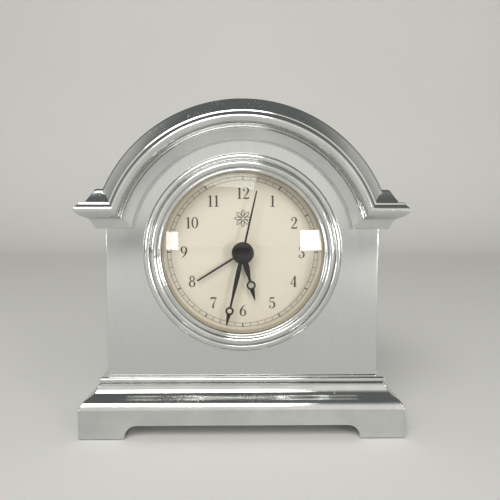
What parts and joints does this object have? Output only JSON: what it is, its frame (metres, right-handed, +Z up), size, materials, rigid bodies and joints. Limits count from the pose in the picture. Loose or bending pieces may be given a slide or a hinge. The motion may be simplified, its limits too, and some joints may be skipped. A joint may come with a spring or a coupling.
{
  "type": "mantel alarm clock",
  "caption": "Arched mantel alarm clock in polished cast metal, with a moulded crown, a stepped bezel, a domed glass and a moulded plinth on bracket feet.",
  "frame": {"origin": "middle of the clock on the surface that it stands on", "axes": "+Z up, the dial faces -Y, +X to the right as seen from the front"},
  "size_m": [0.145, 0.056, 0.1503],
  "materials": {
    "polished_metal": "polished cast aluminium with fine handling scratches",
    "satin_metal": "cast aluminium, satin, brushed up and down on the front",
    "back_paint": "satin black paint on sheet steel",
    "steel": "zinc-plated steel",
    "felt": "dense black felt",
    "glass": "clear domed mineral glass",
    "gasket": "soft black rubber",
    "ring_metal": "satin tan lacquer",
    "dial_enamel": "matt cream lacquer with printed figures",
    "brass": "turned brass",
    "hand_black": "semi-gloss black lacquer",
    "movement_plastic": "fine-grained moulded black plastic",
    "wheel_plastic": "white acetal",
    "board": "green solder mask on board",
    "copper": "enamelled copper wire",
    "switch_plastic": "red moulded plastic",
    "battery_wrap": "plain printed steel jacket"
  },
  "bodies": {
    "root": {"case_body": "satin_metal", "crown_moulding": "polished_metal", "base_plinth": "polished_metal", "bezel": "polished_metal", "back_cover": "back_paint", "back_cover_screws": "steel", "crown_screws": "steel", "base_screws": "steel", "felt_pads": "felt", "glass": "glass", "glass_gasket": "gasket", "dial_ring": "ring_metal", "dial_plate": "dial_enamel", "dial_nut": "brass", "insert_can": "steel", "insert_clips": "steel", "insert_clip_screws": "steel", "movement_front_housing": "movement_plastic", "movement_middle_plate": "wheel_plastic", "movement_rear_housing": "movement_plastic", "movement_screws": "steel", "circuit_board": "board", "quartz_crystal": "steel", "buzzer": "brass", "stator": "steel", "coil_core": "steel", "coil_bobbin": "wheel_plastic", "coil_winding": "copper", "battery": "battery_wrap", "plus_contact": "steel", "minus_contact": "steel"},
    "second": {"second_wheel": "wheel_plastic", "second_hand": "hand_black", "second_hub": "hand_black"},
    "rotor": {"rotor_pinion": "wheel_plastic", "rotor_magnet": "steel"},
    "fifth": {"fifth_wheel": "wheel_plastic"},
    "third": {"third_wheel": "wheel_plastic"},
    "centre": {"centre_wheel": "wheel_plastic"},
    "minute": {"minute_arbor": "brass", "minute_hand": "hand_black"},
    "motion_work": {"minute_wheel": "wheel_plastic"},
    "hour": {"hour_wheel": "wheel_plastic", "hour_hand": "hand_black"},
    "alarm": {"alarm_wheel": "wheel_plastic", "alarm_hand": "hand_black"},
    "time_set": {"time_set_shaft": "wheel_plastic", "time_set_knob": "movement_plastic"},
    "alarm_set": {"alarm_set_shaft": "wheel_plastic", "alarm_set_knob": "movement_plastic"},
    "switch": {"alarm_switch": "switch_plastic"},
    "door": {"battery_door": "movement_plastic"}
  },
  "joints": [
    {"name": "second_spin", "type": "hinge", "parent": "root", "child": "second", "pos_m": [0, 0, 0.082], "axis": [0, 1, 0], "continuous": true},
    {"name": "rotor_spin", "type": "hinge", "parent": "root", "child": "rotor", "pos_m": [0.01469, 0, 0.08222], "axis": [0, 1, 0], "continuous": true},
    {"name": "fifth_spin", "type": "hinge", "parent": "root", "child": "fifth", "pos_m": [0.00811, 0, 0.07983], "axis": [0, 1, 0], "continuous": true},
    {"name": "third_spin", "type": "hinge", "parent": "root", "child": "third", "pos_m": [0.0051, 0, 0.09083], "axis": [0, 1, 0], "continuous": true},
    {"name": "centre_spin", "type": "hinge", "parent": "root", "child": "centre", "pos_m": [0, 0, 0.082], "axis": [0, 1, 0], "continuous": true},
    {"name": "minute_spin", "type": "hinge", "parent": "root", "child": "minute", "pos_m": [0, 0, 0.082], "axis": [0, 1, 0], "continuous": true},
    {"name": "motion_spin", "type": "hinge", "parent": "root", "child": "motion_work", "pos_m": [-0.0042, 0, 0.08927], "axis": [0, 1, 0], "continuous": true},
    {"name": "hour_spin", "type": "hinge", "parent": "root", "child": "hour", "pos_m": [0, 0, 0.082], "axis": [0, 1, 0], "continuous": true},
    {"name": "time_set_spin", "type": "hinge", "parent": "root", "child": "time_set", "pos_m": [-0.01063, 0, 0.09467], "axis": [0, 1, 0], "continuous": true},
    {"name": "alarm_spin", "type": "hinge", "parent": "root", "child": "alarm", "pos_m": [0, 0, 0.082], "axis": [0, 1, 0], "continuous": true},
    {"name": "alarm_set_spin", "type": "hinge", "parent": "root", "child": "alarm_set", "pos_m": [-0.01133, 0, 0.08], "axis": [0, 1, 0], "continuous": true},
    {"name": "switch_slide", "type": "slide", "parent": "root", "child": "switch", "axis": [1, 0, 0], "range_m": [0, 0.003]},
    {"name": "door_slide", "type": "slide", "parent": "root", "child": "door", "axis": [0, 0, -1], "range_m": [0, 0.0155]}
  ],
  "couplings": [
    {"joint": "rotor_spin", "follows": "second_spin", "ratio": 30},
    {"joint": "fifth_spin", "follows": "second_spin", "ratio": -5},
    {"joint": "third_spin", "follows": "second_spin", "ratio": -0.13333},
    {"joint": "centre_spin", "follows": "second_spin", "ratio": 0.016667},
    {"joint": "motion_spin", "follows": "minute_spin", "ratio": -0.33333},
    {"joint": "hour_spin", "follows": "minute_spin", "ratio": 0.083333},
    {"joint": "time_set_spin", "follows": "minute_spin", "ratio": 1},
    {"joint": "alarm_set_spin", "follows": "alarm_spin", "ratio": -1.0909}
  ]
}
